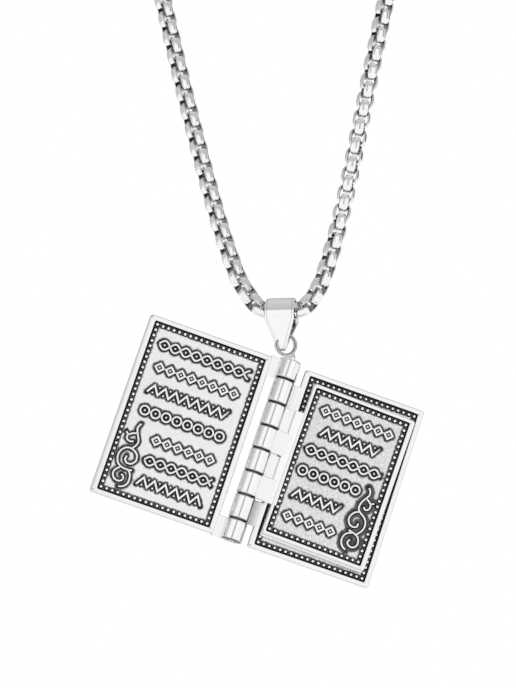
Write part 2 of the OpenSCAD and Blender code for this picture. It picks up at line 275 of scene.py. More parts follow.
def tube_faces(rings, sides, closed=False, turned=False):
    """Quads between rings of points that follow each other."""
    faces = []
    for i in range(rings if closed else rings - 1):
        a, b = i * sides, (i + 1) % rings * sides
        for k in range(sides):
            j = (k + 1) % sides
            face = (a + k, a + j, b + j, b + k)
            faces.append(face[::-1] if turned else face)
    return faces


def end_faces(rings, sides):
    """The faces that close a tube's first and last rings."""
    last = (rings - 1) * sides
    return [tuple(range(sides - 1, -1, -1)), tuple(range(last, last + sides))]


def apply_modifiers(piece):
    """The piece with its modifiers made part of its mesh."""
    seen = bpy.context.evaluated_depsgraph_get()
    made = bpy.data.meshes.new_from_object(piece.evaluated_get(seen), depsgraph=seen)
    piece.modifiers.clear()
    piece.data = made
    return piece


def smoothed(route, times):
    """A line of points with its corners rounded, as the model's source rounds them."""
    route = np.array(route, float)
    for _ in range(times):
        before = np.concatenate([route[:1], route[:-2]])
        after = np.concatenate([route[2:], route[-1:]])
        middle = (9 * (route[:-1] + route[1:]) - before - after) / 16
        full = np.empty((2 * len(route) - 1, 2))
        full[::2], full[1::2] = route, middle
        route = full
    return route


def link_shape(size):
    """One link's points, as (along the chain, outwards, across the band), its faces and crowns."""
    around, round_off, end_dome = 24, 0.63, 0.25
    half_l = (size.link_length - size.wall) / MM / 2
    half_d = (size.diameter - size.wall) / MM / 2
    wall, half_w = size.wall / MM / 2, size.band_width / MM / 2
    outer = size.diameter / MM / 2
    points, crowns = [], []
    for i in range(around):
        angle = 2 * math.pi * (i + 0.5) / around
        c, s = math.cos(angle), math.sin(angle)
        along = half_l * math.copysign(abs(c) ** round_off, c)
        out = half_d * math.copysign(abs(s) ** round_off, s)
        n = np.array([
            c * abs(c) ** (1 - round_off) / half_l,
            s * abs(s) ** (1 - round_off) / half_d,
        ])
        n /= np.hypot(*n)
        narrow = 1 - LINK_END_CUT * abs(along / half_l) ** LINK_CUT_POWER
        for across, rise, crown in LINK_SECTION:
            b = across * half_w * narrow
            # The sides follow the chain's round section, and the ends only partly
            dome = (outer - math.sqrt(outer**2 - b * b)) * (end_dome + (1 - end_dome) * n[1] ** 2)
            off = -wall + rise * (2 * wall - dome)
            points.append((along + n[0] * off, out + n[1] * off, b))
            crowns.append(crown)
    return np.array(points), tube_faces(around, len(LINK_SECTION), closed=True), np.array(crowns)


def link_places(advance):
    """Each link's middle and its frame: along the chain, outwards through the band, across."""
    route = smoothed(CHAIN_ROUTE, 4)
    lengths = np.concatenate([[0], np.cumsum(np.linalg.norm(np.diff(route, axis=0), axis=1))])

    def on_route(at):
        return np.stack([np.interp(at, lengths, route[:, i]) for i in (0, 1)], 1)

    count = round(lengths[-1] / advance)
    at = (np.arange(count) + 0.5) * lengths[-1] / count
    x, h = on_route(at).T
    # A link lies along the line between points about one link before and after it
    reach = advance * 0.9
    along = on_route(at + reach) - on_route(at - reach)
    along /= np.linalg.norm(along, axis=1)[:, None]
    rolls = np.where(x > 0, np.interp(h, *zip(*RIGHT_ROLL)), np.interp(h, *zip(*LEFT_ROLL)))
    rolls += 90.0 * (np.arange(count) % 2)
    places = []
    for k in range(count):
        t = np.array([along[k, 0], 0, along[k, 1]])
        aside = np.array([-t[2], 0, t[0]])
        roll = math.radians(rolls[k])
        out = -math.cos(roll) * np.array([0, 1, 0]) + math.sin(roll) * aside
        places.append((np.array([x[k], 0, h[k]]), np.stack([t, out, np.cross(t, out)])))
    return places


def add_chain(size, finish):
    """The chain's interlocking links, each turned a quarter from the last."""
    points, faces, crowns = link_shape(size)
    shape = Shape()
    for middle, axes in link_places(size.advance / MM):
        shape.add(points @ axes + middle, faces, crown=crowns)
    return apply_modifiers(shape.piece("chain_links", [finish], from_bail))


def bail_side(radius, foot, count):
    """Where a straight leaf from its foot meets a bend round the chain, and the bend's points
    from there to the top, as (behind the chain's line, height)."""
    rise = np.array(foot) - (0, BAIL_CENTRE_Z)
    angle = math.atan2(rise[1], rise[0]) + math.acos(radius / np.hypot(*rise))
    touch = np.array([math.cos(angle), math.sin(angle)]) * radius + (0, BAIL_CENTRE_Z)
    bend = np.linspace(angle, math.pi / 2, count)
    arc = np.stack([np.cos(bend), np.sin(bend)], 1) * radius + (0, BAIL_CENTRE_Z)
    return touch, arc


def bail_line(thickness):
    """The strap from the front leaf's foot over the chain to the back leaf's foot, as pairs of
    outer and inner points."""
    steps, thinnest = 14, 0.1
    outer_touch, outer_arc = bail_side(BAIL_RI + thickness, BAIL_FOOT, steps)
    inner_touch, inner_arc = bail_side(BAIL_RI, BAIL_CROTCH, steps)
    parted_y, parted_z = zip(*BAIL_PARTING, inner_touch)
    back = []
    for z in np.linspace(BAIL_FOOT[1], outer_touch[1], steps)[:-1]:
        outer_y = np.interp(z, [BAIL_FOOT[1], outer_touch[1]], [BAIL_FOOT[0], outer_touch[0]])
        inner_y = min(np.interp(z, parted_z, parted_y), outer_y - thinnest)
        back.append(((outer_y, z), (inner_y, z)))
    back += zip(outer_arc, inner_arc)
    front = [((-outer[0], outer[1]), (-inner[0], inner[1])) for outer, inner in back]
    return front + back[-2::-1]


def bail_section(half_w, thick):
    """The strap's section all round from its inner middle, as (across, how far out from 0 to 1,
    band). A worn bevel runs along its outer edges, with a thin painted shade line where it starts."""
    # The edges' rounding, the bevel's width and fall, half the width of the painted shade line, and
    # the most that a rounding or fall takes of the thickness
    soft, bevel, fall, line, most = 0.12, 0.42, 0.12, 0.09, 0.3
    s, f = min(soft / thick, most), min(fall / thick, most)
    mid_w, mid_s = half_w - ROUNDING * soft, ROUNDING * s
    half = [
        (half_w / 3, 0, 0), (half_w - soft, 0, 0), (mid_w, mid_s, 0), (half_w, s, 0),
        (half_w, 1 - f - s, 0), (mid_w, 1 - f - mid_s, 0), (half_w - soft, 1 - f, 0),
        (half_w - bevel + line, 1 - 0.1 * f, 0), (half_w - bevel, 1, 0.45),
        (half_w - bevel - line, 1, 0), (half_w / 4, 1, 0),
    ]
    whole = half + [(-across, rise, band) for across, rise, band in half[::-1]]
    return whole[::-1]


def add_bail(size, finish):
    """A strap folded over the chain, its two leaves soldered together at the tip."""
    half_widths = [size.tip_width / MM / 2, size.width / MM / 2]
    rings, points, bands = 0, [], []
    for outer, inner in bail_line(size.thickness / MM):
        outer, inner = np.array(outer), np.array(inner)
        half_w = np.interp(outer[1], [BAIL_FOOT[1], BAIL_SHOULDER_Z], half_widths)
        section = bail_section(half_w, np.hypot(*(outer - inner)))
        points += [(x, *(inner + (outer - inner) * rise)) for x, rise, _ in section]
        bands += [band for *_, band in section]
        rings += 1
    sides = len(points) // rings
    shape = Shape()
    faces = tube_faces(rings, sides) + end_faces(rings, sides)
    shape.add(np.array(points) @ rotation("Z", BAIL_YAW).T, faces, band=bands)
    strap = shape.piece("bail_strap", [finish], from_bail)
    groove = Shape()
    add_eye(groove, EYE_CLEAR)
    cutter = apply_modifiers(groove.piece("bail_groove", [finish], from_book))
    cut = strap.modifiers.new("eye groove", "BOOLEAN")
    cut.operation, cut.object, cut.solver = "DIFFERENCE", cutter, "EXACT"
    strap.modifiers.move(1, 0)
    apply_modifiers(strap)
    bpy.data.objects.remove(cutter)
    return strap


def add_eye(shape, play):
    """The band on the top knuckle, grown by some play, as points (x, n, z) of the book's frame."""
    around, sides = 64, 20
    x, y, z = EYE_ON_BOOK
    half_t, half_w = EYE_HALF
    yaw = math.radians(EYE_YAW)
    points, bands = [], []
    for i in range(around):
        a = 2 * math.pi * i / around
        for k in range(sides):
            b = 2 * math.pi * k / sides
            # Painted dark lines run along both rims, and painted shade darkens the inside
            on_rim = 0.3 < abs(math.cos(b)) < 0.75
            bands.append(0.8 if on_rim else 0.3 * (math.cos(b) < 0))
            reach = EYE_R + (half_t + play) * math.cos(b)
            r = reach * math.cos(a)
            aside = -(half_w + play) * math.sin(b)
            points.append((
                x + r * math.cos(yaw) - aside * math.sin(yaw),
                -y - r * math.sin(yaw) - aside * math.cos(yaw),
                z + reach * math.sin(a),
            ))
    shape.add(points, tube_faces(around, sides, closed=True), band=bands)


def add_eye_foot(shape):
    """The solder that joins the eye to the top knuckle."""
    half_w = EYE_HALF[1] - 0.1
    points = [
        (x, n - EYE_ON_BOOK[1], BARREL_L / 2 + z) for n in (-half_w, half_w) for x, z in EYE_FOOT
    ]
    count = len(EYE_FOOT)
    shape.add(points, tube_faces(2, count) + end_faces(2, count))


def lathe(shape, profile, sides=48):
    """A ring turned about the hinge's line. profile has (radius, height, band) all round it."""
    points = [
        (r * math.cos(a), r * math.sin(a), z)
        for r, z, _ in profile
        for a in 2 * np.pi * np.arange(sides) / sides
    ]
    bands = np.repeat([band for *_, band in profile], sides)
    shape.add(points, tube_faces(len(profile), sides, closed=True), band=bands)


def soft_box(shape, x, n, z, bands=(0.0, 0.0)):
    """A box with rounded edges, between the given pairs of sides. Its band value runs evenly
    from the one side in x to the other."""
    soft = 0.1
    sizes = [abs(b - a) for a, b in (x, n, z)]
    middle = Vector([(a + b) / 2 for a, b in (x, n, z)])
    placed = Matrix.Translation(middle) @ Matrix.Diagonal((*sizes, 1))
    work = bmesh.new()
    bmesh.ops.create_cube(work, size=1, matrix=placed)
    bmesh.ops.bevel(work, geom=work.edges[:], offset=soft, segments=2, profile=0.5, affect="EDGES")
    work.verts.index_update()
    # The book's n runs towards the viewer, which mirrors the box, so its faces turn over
    faces = [[v.index for v in f.verts][::-1] for f in work.faces]
    points = np.array([v.co[:] for v in work.verts])
    share = (points[:, 0] - x[0]) / (x[1] - x[0])
    shape.add(points, faces, band=bands[0] + (bands[1] - bands[0]) * share)
    work.free()


def add_knuckles(leaf, size, finish):
    """A leaf's rolled knuckles and the tabs that join them to it."""
    shape = Shape()
    place = LEAVES[leaf]
    on_page = leaf.startswith("page")
    outer, bore, soft, chamfer, fade = size.barrel / MM / 2, BORE_R, 0.26, 0.08, 0.1
    mid = ROUNDING * soft
    # The tabs run from inside the barrel into a cover's near side or a page's margin
    reach = PAGE_MARGIN["x"][0] + 0.5 if on_page else place["x"][leaf == "front_cover"]
    side = math.copysign(1, reach)
    across = (side * (0.9 if on_page else 0.2), reach + side * 0.3)
    under = (place["n"], place["n"] + size.leaf / MM)
    top = BARREL_L / 2
    for i, (tall, owner) in enumerate(KNUCKLES):
        high = top - (KNUCKLE_GAP / 2 if i else 0)
        low = top - tall + (KNUCKLE_GAP / 2 if i < len(KNUCKLES) - 1 else 0)
        top -= tall
        if owner != leaf:
            continue
        # Painted shade darkens every knuckle's ends and bore, apart from the barrel's bright upper
        # end
        dark = 1 if i else 0
        lathe(shape, [
            (bore, low + chamfer, 1), (bore + chamfer, low, 1), (outer - soft, low, 1),
            (outer - mid, low + mid, 0.9), (outer, low + soft, 0.3),
            (outer, low + soft + fade, 0), (outer, high - soft - fade, 0),
            (outer, high - soft, 0.3 * dark), (outer - mid, high - mid, 0.9 * dark),
            (outer - soft, high, dark), (bore + chamfer, high, dark), (bore, high - chamfer, dark),
        ])
        # The tab's band is painted shade, darker towards the barrel on the back cover's tabs
        soft_box(shape, across, under, (low, high), TAB_PAINTED_SHADE.get(i, TAB_SHADE))
    if leaf == "front_cover":
        add_eye(shape, 0)
        add_eye_foot(shape)
    return apply_modifiers(shape.piece(f"{leaf}_knuckles", [finish], from_book))


def rounded_loop(x, z, r, inset, corner=6, along=10):
    """A rectangle with round corners, inset from its sides, as (x, z) points all round."""
    x0, x1, z0, z1 = x[0] + inset, x[1] - inset, z[0] + inset, z[1] - inset
    r = max(r - inset, 0.02)
    corners = [
        (x1 - r, z1 - r, 0), (x0 + r, z1 - r, 90), (x0 + r, z0 + r, 180), (x1 - r, z0 + r, 270),
    ]
    loop = []
    for i, (cx, cz, start) in enumerate(corners):
        arc = [math.radians(start + 90 * k / corner) for k in range(corner + 1)]
        points = [(cx + r * math.cos(a), cz + r * math.sin(a)) for a in arc]
        nx, nz, nstart = corners[(i + 1) % 4]
        a = math.radians(nstart)
        end = np.array([nx + r * math.cos(a), nz + r * math.sin(a)])
        gap = [tuple(np.array(points[-1]) * (1 - f) + end * f) for f in np.arange(1, along) / along]
        loop += points + gap
    return loop


def add_tray(shape, x, z, panel_x, panel_z, n, thick, depth):
    """A leaf's slab with rounded edges, open where its sunk panel's floor goes."""
    soft, edge, rim = 0.16, TRAY_EDGE_SHADE, TRAY_RIM_SHADE
    top, mid = n + thick, ROUNDING * soft
    # Rings as (inset, height, band), from the middle of the back round to the panel's foot
    # The outer edge's band is painted shade
    outside = [
        (1.2, n, 0), (soft, n, 0), (mid, n + mid, 0), (0, n + soft, edge), (0, top - soft, edge),
        (mid, top - mid, edge), (soft, top, rim),
    ]
    inside = [
        (-0.08, top, rim), (-0.02, top - 0.03, rim), (0.01, top - 0.08, rim),
        (0.04, top - depth - 0.02, rim),
    ]
    points, bands, sides = [], [], 0
    for ring_x, ring_z, r, rings in ((x, z, 0.5, outside), (panel_x, panel_z, 0.3, inside)):
        for inset, height, band in rings:
            loop = rounded_loop(ring_x, ring_z, r, inset)
            sides = len(loop)
            points += [(px, height, pz) for px, pz in loop]
            bands += [band] * sides
    count = len(outside) + len(inside)
    shape.add(points, tube_faces(count, sides) + end_faces(count, sides)[:1], band=bands)


def row_lines(z, x0, x1, kind, stroke):
    """An ornament row's strokes, as (points, closed), and its dots."""
    steps_a_wave, ring_sides = 8, 20
    strokes, dots = [], []
    if kind == "waves":
        xs = np.linspace(x0, x1, int((x1 - x0) / ROW_STEP * steps_a_wave))
        for way in (1, -1):
            bend = way * ROW_REACH * np.sin(np.pi * (xs - x0) / ROW_STEP)
            strokes.append((np.stack([xs, z + bend], 1), False))
        dots = [(x, z) for x in np.arange(x0 + ROW_STEP / 2, x1, ROW_STEP)]
    elif kind == "zigzag":
        count = int((x1 - x0) / (ROW_STEP / 2))
        xs = x0 + np.arange(count + 1) * ROW_STEP / 2
        ups = np.where(np.arange(count + 1) % 2 == 0, -1, 1) * ROW_REACH
        strokes.append((np.stack([xs, z + ups], 1), False))
        # One dot stands in each of the line's bends
        dots = [(x, z - 0.75 * u) for x, u in zip(xs[1:-1], ups[1:-1])]
    else:
        count = int((x1 - x0) / ROW_STEP)
        first = (x0 + x1 - (count - 1) * ROW_STEP) / 2
        for i in range(count):
            x = first + i * ROW_STEP
            if kind == "lozenges":
                # The corners of a square set on its tip, on the stroke's middle line
                r = (LOZENGE_W - stroke) / math.sqrt(2)
                corners = [(x + r, z), (x, z + r), (x - r, z), (x, z - r)]
                strokes.append((np.array(corners), True))
            else:
                a = 2 * np.pi * np.arange(ring_sides) / ring_sides
                ring = [x + ROW_REACH * np.cos(a), z + ROW_REACH * np.sin(a)]
                strokes.append((np.stack(ring, 1), True))
            dots.append((x, z))
    return strokes, dots


def add_stroke(shape, line, closed, floor, height, width):
    """A raised line with a rounded top. Its crown value runs from 0 at its foot to 1 on top."""
    count, sides = len(line), len(STROKE_SECTION)
    before = np.roll(line, 1, 0) if closed else np.concatenate([line[:1], line[:-1]])
    after = np.roll(line, -1, 0) if closed else np.concatenate([line[1:], line[-1:]])
    a, b = line - before, after - line
    a[0] = a[0] if closed else b[0]
    b[-1] = b[-1] if closed else a[-1]
    a /= np.linalg.norm(a, axis=1)[:, None]
    b /= np.linalg.norm(b, axis=1)[:, None]
    way = a + b
    way /= np.linalg.norm(way, axis=1)[:, None]
    aside = np.stack([-way[:, 1], way[:, 0]], 1)
    # At a corner the line is wider, so that it keeps its width along both legs
    stretch = 1 / np.clip(np.sum(way * a, axis=1), 0.55, 1)
    points, crowns = [], []
    for k in range(count):
        for off, rise, crown in STROKE_SECTION:
            px, pz = line[k] + aside[k] * off * stretch[k] * width / 2
            points.append((px, floor + rise * height, pz))
            crowns.append(crown)
    faces = tube_faces(count, sides, closed) + ([] if closed else end_faces(count, sides))
    shape.add(points, faces, RAISED, crowns)


def add_dome(shape, x, z, floor, r, height):
    """A bead or dot: a dome on the panel's floor that is bright from its shoulder up."""
    sides, shoulder = 12, 0.78
    points, crowns = [], []
    for rise, reach in DOME_RINGS:
        for a in 2 * np.pi * np.arange(sides) / sides:
            px, pz = x + reach * r * math.cos(a), z + reach * r * math.sin(a)
            points.append((px, floor + rise * height, pz))
            crowns.append(max(rise, 0) / shoulder)
    points.append((x, floor + height, z))
    crowns.append(1)
    tip = len(DOME_RINGS) * sides
    last = tip - sides
    faces = tube_faces(len(DOME_RINGS), sides, turned=True)
    faces += [(last + (k + 1) % sides, last + k, tip) for k in range(sides)]
    shape.add(points, faces, RAISED, np.minimum(crowns, 1))


def distance_to(xs, zs, segments, cap):
    """Each grid point's distance to the nearest of the segments, up to a cap."""
    found = np.full((len(zs), len(xs)), cap)
    for a, b in segments:
        i0, i1 = np.searchsorted(xs, [min(a[0], b[0]) - cap, max(a[0], b[0]) + cap])
        j0, j1 = np.searchsorted(zs, [min(a[1], b[1]) - cap, max(a[1], b[1]) + cap])
        px, pz = np.meshgrid(xs[i0:i1], zs[j0:j1])
        d = b - a
        f = np.clip(((px - a[0]) * d[0] + (pz - a[1]) * d[1]) / max(d @ d, 1e-9), 0, 1)
        near = np.hypot(px - a[0] - f * d[0], pz - a[1] - f * d[1])
        found[j0:j1, i0:i1] = np.minimum(found[j0:j1, i0:i1], near)
    return found


def skewed(points, page):
    """Points of a page's slab, turned in the page's plane about its middle, and lowered."""
    middle = (sum(page["x"]) / 2, 0, 0)
    return (points - middle) @ rotation("Y", PAGE_SKEW).T + middle - (0, 0, page["drop"])


def border_beads(panel_x, panel_z, inset, pitch):
    """The beads' places along the panel's four sides."""
    across = round((panel_x[1] - panel_x[0] - 2 * inset) / pitch)
    down = round((panel_z[1] - panel_z[0] - 2 * inset) / pitch)
    xs = np.linspace(panel_x[0] + inset, panel_x[1] - inset, across + 1)
    zs = np.linspace(panel_z[0] + inset, panel_z[1] - inset, down + 1)
    return [
        (x, z)
        for i, x in enumerate(xs)
        for j, z in enumerate(zs)
        if i in (0, across) or j in (0, down)
    ]


def add_panel_floor(shape, panel_x, panel_z, floor, step, size, beads, blackened):
    """The panel's floor as a fine grid. Its crown value is the distance from the nearest wall,
    raised line or bead. Its band value is positive in the dark border and round the lines, which
    blackened gives as (segments, the black's reach)."""
    under, wall, bead_cap, line_cap = 0.05, 0.08, 1.0, 1.4
    xs = np.linspace(panel_x[0] - under, panel_x[1] + under, int((panel_x[1] - panel_x[0]) / step))
    zs = np.linspace(panel_z[0] - under, panel_z[1] + under, int((panel_z[1] - panel_z[0]) / step))
    px, pz = np.meshgrid(xs, zs)
    edge = np.minimum(
        np.minimum(px - panel_x[0], panel_x[1] - px), np.minimum(pz - panel_z[0], panel_z[1] - pz)
    )
    band = size.border / MM - edge
    crown = distance_to(xs, zs, [(bead, bead) for bead in np.array(beads)], bead_cap)
    crown = np.minimum(crown - size.bead / MM / 2, edge - wall)
    for segments, reach in blackened:
        away = distance_to(xs, zs, segments, line_cap)
        crown = np.minimum(crown, away - size.stroke / MM / 2)
        band = np.maximum(band, reach - away)
    points = np.stack([px.ravel(), np.full(px.size, floor), pz.ravel()], 1)
    nx = len(xs)
    i, j = np.meshgrid(np.arange(nx - 1), np.arange(len(zs) - 1))
    a = (j * nx + i).ravel()
    faces = np.stack([a + 1, a + nx + 1, a + nx, a], 1)
    shape.add(points, faces, FIELD, crown.ravel(), band.ravel())


def add_leaf(leaf, size, finishes):
    """A leaf: its slab, its sunk panel with a bead border, and its rows and scrollwork."""
    place = LEAVES[leaf]
    on_page = leaf.startswith("page")
    thick, depth, stroke = size.leaf / MM, size.panel_depth / MM, size.stroke / MM
    z = (place["z"] - place["h"] / 2, place["z"] + place["h"] / 2)
    panel_z = (place["z"] - place["panel_h"] / 2, place["z"] + place["panel_h"] / 2)
    panel_x = place["panel"]
    top = place["n"] + thick
    floor = top - depth
    shape = Shape()
    add_tray(shape, place["x"], z, panel_x, panel_z, place["n"], thick, depth)

    lines, dots = [], []
    for row in ROWS.get(leaf, []):
        strokes, row_dots = row_lines(*row, stroke)
        lines += strokes
        dots += row_dots
    scrolls = [(smoothed(line, 2), False) for line in SCROLLS.get(leaf, [])]
    for line, closed in lines + scrolls:
        add_stroke(shape, line, closed, floor, depth, stroke)
    for dot_x, dot_z in dots:
        add_dome(shape, dot_x, dot_z, floor, DOT_R, depth * 0.9)
    beads = border_beads(panel_x, panel_z, size.bead_inset / MM, size.bead_pitch / MM)
    for bead_x, bead_z in beads:
        add_dome(shape, bead_x, bead_z, floor, size.bead / MM / 2, size.bead / MM / 2)

    row_segments = [
        segment
        for line, closed in lines
        for segment in zip(line, np.roll(line, -1, 0) if closed else line[1:])
    ] + [(np.array(dot), np.array(dot)) for dot in dots]
    scroll_segments = [segment for line, _ in scrolls for segment in zip(line, line[1:])]
    blackened = [
        (row_segments, size.halo / MM),
        (scroll_segments, PAGE_SCROLL_HALO if on_page else COVER_SCROLL_HALO),
    ]
    step = FINE_STEP if lines else PLAIN_STEP
    add_panel_floor(shape, panel_x, panel_z, floor, step, size, beads, blackened)
    if on_page:
        shape.points = [skewed(points, place) for points in shape.points]
        soft_box(shape, PAGE_MARGIN["x"], (place["n"], top - 0.02), PAGE_MARGIN["z"])
    return apply_modifiers(shape.piece(f"{leaf}_leaf", finishes, from_book))


class Value:
    """What a shader node puts out. Python's signs on it add Math nodes."""

    def __init__(self, nodes, socket):
        self.nodes, self.socket = nodes, socket

    def maths(self, operation, a, b=0.0):
        return self.nodes.node("ShaderNodeMath", {"operation": operation}, {0: a, 1: b})

    def __add__(self, other):
        return self.maths("ADD", self, other)

    def __sub__(self, other):
        return self.maths("SUBTRACT", self, other)

    def __rsub__(self, other):
        return self.maths("SUBTRACT", other, self)

    def __mul__(self, other):
        return self.maths("MULTIPLY", self, other)

    def __truediv__(self, other):
        return self.maths("DIVIDE", self, other)

    __radd__ = __add__
    __rmul__ = __mul__

    def clamped(self):
        return self.nodes.node("ShaderNodeClamp", {}, {"Value": self})

    def step(self, fade):
        """From 0 to 1 as the value passes 0, over the fade's width."""
        return (0.5 + self / fade).clamped()


class Nodes:
    """A node tree that is being filled in."""

    def __init__(self, tree):
        self.tree = tree

    def node(self, kind, settings, sockets, out=0):
        """The output of a new node, with its settings and its sockets' values or links."""
        made = self.tree.nodes.new(kind)
        for name, value in settings.items():
            if name == "stops":
                self.fill_ramp(made.color_ramp, value)
            else:
                setattr(made, name, value)
        for name, value in sockets.items():
            self.link(made.inputs[name], value)
        return Value(self, made.outputs[out])

    def fill_ramp(self, ramp, stops):
        """Gives a colour ramp its stops, as (place from 0 to 1, grey)."""
        while len(ramp.elements) < len(stops):
            ramp.elements.new(1)
        for element, (at, grey) in zip(ramp.elements, stops):
            element.position, element.color = at, (grey, grey, grey, 1)

    def link(self, socket, value):
        """Links a value to a socket, or sets the socket to a number or a colour."""
        if isinstance(value, Value):
            self.tree.links.new(value.socket, socket)
        elif socket.type == "RGBA":
            socket.default_value = (*tuple(value)[:3], 1)
        else:
            socket.default_value = value

    def mix(self, factor, a, b):
        """A colour between a and b."""
        return self.node(
            "ShaderNodeMix", {"data_type": "RGBA", "clamp_factor": True}, {0: factor, 6: a, 7: b}, 2
        )


class Finish(Nodes):
    """A metal finish that is being made, on one Principled shader."""

    def __init__(self, name):
        self.material = bpy.data.materials.new(name)
        self.material.use_nodes = True
        super().__init__(self.material.node_tree)
        self.shader = self.tree.nodes["Principled BSDF"]
        self.set("Metallic", 1.0)

    def set(self, socket, value):
        self.link(self.shader.inputs[socket], value)

    def noise(self, per_mm, detail=3.0, roughness=0.6):
        where = self.node("ShaderNodeTexCoord", {}, {}, "Object")
        return self.node(
            "ShaderNodeTexNoise", {},
            {"Vector": where, "Scale": per_mm / MM, "Detail": detail, "Roughness": roughness},
        )

    def mark(self, name):
        """The crown or band that the piece's points carry."""
        return self.node("ShaderNodeAttribute", {"attribute_name": name}, {}, "Fac")

    def bump(self, height, distance_mm, strength=1.0):
        sockets = {"Height": height, "Distance": distance_mm * MM, "Strength": strength}
        self.set("Normal", self.node("ShaderNodeBump", {}, sockets))


def polished_steel(colours):
    """High polish, with faint hand marks and a slightly uneven sheen, and painted shade, up to
    black, where it is banded."""
    finish = Finish("polished steel")
    bright = finish.mix(finish.noise(0.18, 2), colours.steel_shade, colours.steel)
    finish.set("Base Color", finish.mix(finish.mark("band").clamped(), bright, colours.oxide_and_shade))
    marks = finish.noise(1.6, 6, 0.7)
    finish.set("Roughness", 0.07 + marks * 0.10)
    finish.bump(finish.noise(0.35, 2), 0.02, 0.25)
    return finish.material


def chain_steel(colours):
    """Bright on the links' outer sides, with painted shade inside them and along their edges."""
    finish = Finish("chain steel")
    links = finish.mix(finish.mark("crown") * 1.6 - 0.5, colours.link_shade, colours.chain)
    finish.set("Base Color", links)
    finish.set("Roughness", 0.12 + finish.noise(1.2, 4) * 0.10)
    finish.bump(finish.noise(0.9, 2), 0.02, 0.25)
    return finish.material


def field_steel(name, colours, field, shade):
    """A panel's floor: stippled pale steel, charcoal in the border and round the lines, and black
    close to every raised edge."""
    black_reach, black_fade, charcoal_fade = 0.16, 0.08, 0.25
    finish = Finish(name)
    wobble = finish.noise(1.8, 4) - 0.5
    black = (black_reach - finish.mark("crown") + wobble * 0.1).step(black_fade)
    worn = (finish.mark("band") + wobble * 0.6).step(charcoal_fade)
    grain = finish.noise(2.8, 3, 0.6)
    pale = finish.mix(grain * 5 - 2, shade, field)
    patches = finish.noise(1.1, 4, 0.7) * 2.4 - 0.7
    charcoal = finish.mix(patches, colours.charcoal_deep, colours.charcoal)
    finish.set("Base Color", finish.mix(black, finish.mix(worn, pale, charcoal), colours.oxide_and_shade))
    finish.set("Roughness", 0.34 + worn * 0.16)
    finish.bump(grain, 0.05, 0.4)
    return finish.material


def raised_steel(colours):
    """Beads and raised strokes: bright on top, black at the foot."""
    finish = Finish("raised steel")
    top = (finish.mark("crown") * 2.2 - 0.9 + finish.noise(1.5, 3) * 0.3).clamped()
    finish.set("Base Color", finish.mix(top, colours.oxide_and_shade, colours.raised))
    finish.set("Roughness", 0.5 - top * 0.26)
    return finish.material


def length(label, description, default, low, high):
    """A size that the user can change, given in millimetres."""
    return FloatProperty(
        name=label, description=description, default=default * MM, min=low * MM, max=high * MM,
        unit="LENGTH", precision=5,
    )


def colour(label, description, grey):
    """A grey that the user can change to any colour."""
    return FloatVectorProperty(
        name=label, description=description, default=(grey, grey, grey), min=0, max=1, size=3,
        subtype="COLOR",
    )


class ChainSizes(bpy.types.PropertyGroup):
    """The round box chain's links."""

    diameter: length("Diameter", "Outer diameter of the chain", 3.2, 2, 4)
    link_length: length("Link length", "Outer length of a link", 3.2, 2, 4)
    band_width: length("Band width", "Width of a link's band", 1.74, 1, 2)
    wall: length("Wall", "Thickness of a link's band", 0.5, 0.3, 0.7)
    advance: length("Advance", "Distance from one link to the next", 1.79, 1.5, 2.5)


class BailSizes(bpy.types.PropertyGroup):
    """The folded strap that hangs on the chain."""

    width: length("Width", "Width of the strap across its shoulders", 5.3, 4, 6)
    tip_width: length("Tip width", "Width of the strap at its tip", 1.3, 0.8, 2)
    thickness: length("Thickness", "Thickness of the strap", 0.45, 0.3, 0.6)


class LeafSizes(bpy.types.PropertyGroup):
    """The locket's leaves, their hinge barrel and their relief."""

    leaf: length("Leaf thickness", "Thickness of every leaf", 0.95, 0.8, 1)
    barrel: length("Barrel", "Outer diameter of the hinge's knuckles", 3.7, 3, 4)
    panel_depth: length("Panel depth", "Depth of the sunk panels", 0.3, 0.2, 0.35)
    stroke: length("Stroke", "Width of a raised stroke", 0.38, 0.2, 0.5)
    bead: length("Bead", "Diameter of a border bead", 0.58, 0.4, 0.6)
    bead_inset: length("Bead inset", "From a panel's edge to its beads' middles", 0.6, 0.4, 0.7)
    bead_pitch: length("Bead spacing", "Spacing of the beads along a border", 1.02, 0.9, 1.2)
    border: length("Border", "Width of the blackened border band", 1.1, 0.8, 1.5)
    halo: length("Halo", "Reach of the oxide round a stroke's middle", 0.6, 0.2, 0.8)


class Colours(bpy.types.PropertyGroup):
    """The finishes' colours."""

    steel: colour("Steel", "Polished steel", 0.97)
    steel_shade: colour("Steel shade", "Polished steel where it is a little duller", 0.93)
    chain: colour("Chain", "Outer sides of the links", 0.94)
    # Painted shade on the links' inner sides and edges
    link_shade: colour("Link hollows", "Inner sides of the links", 0.3)
    field: colour("Field", "Stippled field of the covers", 1.0)
    field_shade: colour("Field shade", "Pits of the covers' field", 0.93)
    page: colour("Page", "Stippled field of the pages", 0.9)
    page_shade: colour("Page shade", "Pits of the pages' field", 0.72)
    raised: colour("Raised", "Tops of the beads and strokes", 0.98)
    # Black oxide in the relief's hollows, and the black of painted shade on polished pieces
    oxide_and_shade: colour("Oxide", "Black oxide in the hollows", 0.012)
    charcoal: colour("Charcoal", "Oxide where it is thin", 0.2)
    charcoal_deep: colour("Deep charcoal", "Oxide where it is thicker", 0.05)


class StageSettings(bpy.types.PropertyGroup):
    """Floor and light."""

    floor: FloatProperty(
        name="Floor", description="Height of the floor", default=-0.42, unit="LENGTH"
    )
    floor_light: FloatProperty(
        name="Floor light", description="Strength of the light that falls on the floor alone",
        default=1.6, min=0, max=5,
    )


class LocketSettings(bpy.types.PropertyGroup):
    """Everything that a user can change."""

    chain: PointerProperty(type=ChainSizes)
    bail: PointerProperty(type=BailSizes)
    leaves: PointerProperty(type=LeafSizes)
    colours: PointerProperty(type=Colours)
    stage: PointerProperty(type=StageSettings)


